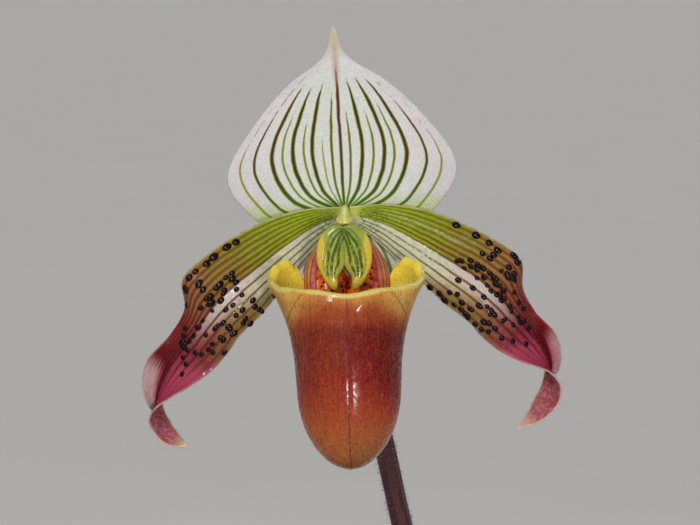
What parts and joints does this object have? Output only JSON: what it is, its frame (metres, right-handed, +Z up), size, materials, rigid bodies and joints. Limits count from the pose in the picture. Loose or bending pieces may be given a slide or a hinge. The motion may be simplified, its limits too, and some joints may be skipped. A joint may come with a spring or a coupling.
{
  "type": "potted slipper orchid",
  "caption": "Slipper orchid in a plain clay pot: mottled strap leaves, a hairy stem, and one bloom with a striped sepal, warty down-swept petals and a slipper-shaped pouch.",
  "frame": {"origin": "middle of the pot's flat foot, where it stands", "axes": "+Z up; -Y is where the bloom faces; +X is to the right as seen from in front of the bloom"},
  "size_m": [0.2272, 0.118, 0.3232],
  "materials": {
    "clay": "matt, unglazed",
    "bark": "rough",
    "leaf": "satin, mottled",
    "stem": "downy",
    "ovary_green": "downy",
    "sepal": "satin, striped",
    "petal": "satin, warty",
    "pouch": "glossy",
    "column": "glossy"
  },
  "bodies": {
    "root": {"pot": "clay", "bark_medium": "bark", "leaf_1": "leaf", "leaf_2": "leaf", "leaf_3": "leaf", "leaf_4": "leaf", "leaf_5": "leaf", "young_leaf_1": "leaf", "young_leaf_2": "leaf", "young_leaf_3": "leaf", "scape": "stem", "bract": "ovary_green", "ovary": "ovary_green", "dorsal_sepal": "sepal", "synsepalum": "sepal", "petal_right": "petal", "petal_left": "petal", "lip": "pouch", "column": "column"}
  },
  "joints": []
}
